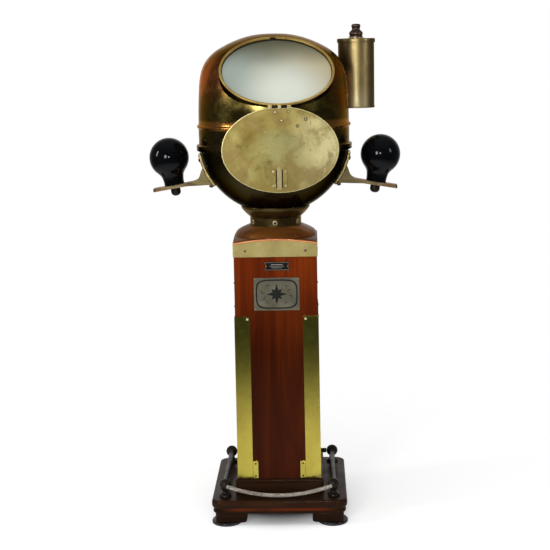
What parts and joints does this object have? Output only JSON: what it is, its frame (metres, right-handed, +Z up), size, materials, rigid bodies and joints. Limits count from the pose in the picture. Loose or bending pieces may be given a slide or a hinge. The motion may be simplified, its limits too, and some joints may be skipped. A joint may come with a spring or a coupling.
{
  "type": "binnacle compass",
  "caption": "Pedestal binnacle: square wooden column on a footed plinth, round metal casing with a gimballed compass, windowed hood with a drop cover and side lamp, and ball correctors on arms.",
  "frame": {"origin": "on the floor, under the middle of the object's outline; the base's own middle is 9.65 mm behind it", "axes": "+Z up, -Y towards the front, where the window and the plates face"},
  "size_m": [0.663, 0.4283, 1.3015],
  "materials": {
    "mahogany": "glossy varnish, worn",
    "dark_wood": "glossy varnish",
    "brass": "polished, tarnished in patches",
    "bronze": "dark brown patina",
    "copper": "lacquered copper with orange and olive patches",
    "dark_metal": "dark oxidised",
    "pewter": "satin grey",
    "black_gloss": "glossy black enamel",
    "rubber": "matt black",
    "rope": "braided cord",
    "glass": "clear",
    "card_white": "printed card"
  },
  "bodies": {
    "binnacle": {"base_plinth": "dark_wood", "column_step": "dark_wood", "magnet_rack": "dark_wood", "foot_block_fl": "dark_wood", "foot_block_fr": "dark_wood", "foot_block_bl": "dark_wood", "foot_block_br": "dark_wood", "foot_pad_fl": "rubber", "foot_pad_fr": "rubber", "foot_pad_bl": "rubber", "foot_pad_br": "rubber", "rail_left": "dark_metal", "rail_right": "dark_metal", "rail_rear": "dark_metal", "small_plate": "dark_metal", "rail_post_fl": "dark_metal", "rail_post_fr": "dark_metal", "rail_post_bl": "dark_metal", "rail_post_br": "dark_metal", "foot_rope": "rope", "column": "mahogany", "column_cap": "mahogany", "cap_band": "brass", "corner_clip_left": "brass", "corner_clip_right": "brass", "corner_plate_fl": "brass", "corner_plate_fr": "brass", "corner_plate_bl": "brass", "corner_plate_br": "brass", "large_plate": "pewter", "neck_collar": "bronze", "bowl_casing": "bronze", "arm_left": "bronze", "arm_right": "bronze", "gimbal_seat": "bronze"},
    "hood": {"hood_shell": "copper", "window_frame": "bronze", "window_bezel": "brass", "window_glass": "glass", "hinge_bracket": "brass", "hinge_pin": "brass", "lamp_tube": "brass", "lamp_burner": "glass"},
    "cover": {"cover_plate": "brass", "cover_leaf": "brass", "bolt_guide": "brass"},
    "bolt": {"cover_bolt": "brass"},
    "lamp_lid": {"lamp_cap": "brass", "lamp_knob": "dark_metal"},
    "sphere_l": {"sphere_left": "black_gloss", "sphere_nut_left": "dark_metal"},
    "sphere_r": {"sphere_right": "black_gloss", "sphere_nut_right": "dark_metal"},
    "gimbal": {"gimbal_ring": "brass"},
    "compass": {"compass_bowl": "bronze", "compass_glass": "glass"},
    "card": {"compass_card": "card_white"},
    "door": {"magnet_door": "mahogany", "door_knob": "brass"},
    "bucket": {"heeling_bucket": "brass"}
  },
  "joints": [
    {"name": "hood_lift", "type": "slide", "parent": "binnacle", "child": "hood", "axis": [0, 0, 1], "range_m": [0, 0.3]},
    {"name": "cover_hinge", "type": "hinge", "parent": "hood", "child": "cover", "pos_m": [0.02158, -0.19914, 1.1002], "axis": [-0.9947, -0.1028, 0], "range_deg": [0, 217]},
    {"name": "cover_bolt_slide", "type": "slide", "parent": "cover", "child": "bolt", "axis": [0, 0, -1], "range_m": [-0.007, 0.005]},
    {"name": "lamp_lid_lift", "type": "slide", "parent": "hood", "child": "lamp_lid", "axis": [0, 0, 1], "range_m": [0, 0.08]},
    {"name": "sphere_left_slide", "type": "slide", "parent": "binnacle", "child": "sphere_l", "axis": [-0.9863, 0, -0.165], "range_m": [-0.008, 0.02]},
    {"name": "sphere_right_slide", "type": "slide", "parent": "binnacle", "child": "sphere_r", "axis": [0.9863, 0, -0.165], "range_m": [-0.008, 0.02]},
    {"name": "gimbal_pitch", "type": "hinge", "parent": "binnacle", "child": "gimbal", "pos_m": [0, 0.00965, 0.985], "axis": [1, 0, 0], "range_deg": [-20, 20]},
    {"name": "compass_roll", "type": "hinge", "parent": "gimbal", "child": "compass", "pos_m": [0, 0.00965, 0.985], "axis": [0, 1, 0], "range_deg": [-20, 20]},
    {"name": "card_spin", "type": "hinge", "parent": "compass", "child": "card", "pos_m": [0, 0.00965, 0.974], "axis": [0, 0, 1], "continuous": true},
    {"name": "magnet_door_hinge", "type": "hinge", "parent": "binnacle", "child": "door", "pos_m": [-0.0655, 0.12768, 0.36], "axis": [0, 0, 1], "range_deg": [0, 110]},
    {"name": "heeling_bucket_slide", "type": "slide", "parent": "binnacle", "child": "bucket", "axis": [0, 0, 1], "range_m": [-0.06, 0.04]}
  ]
}
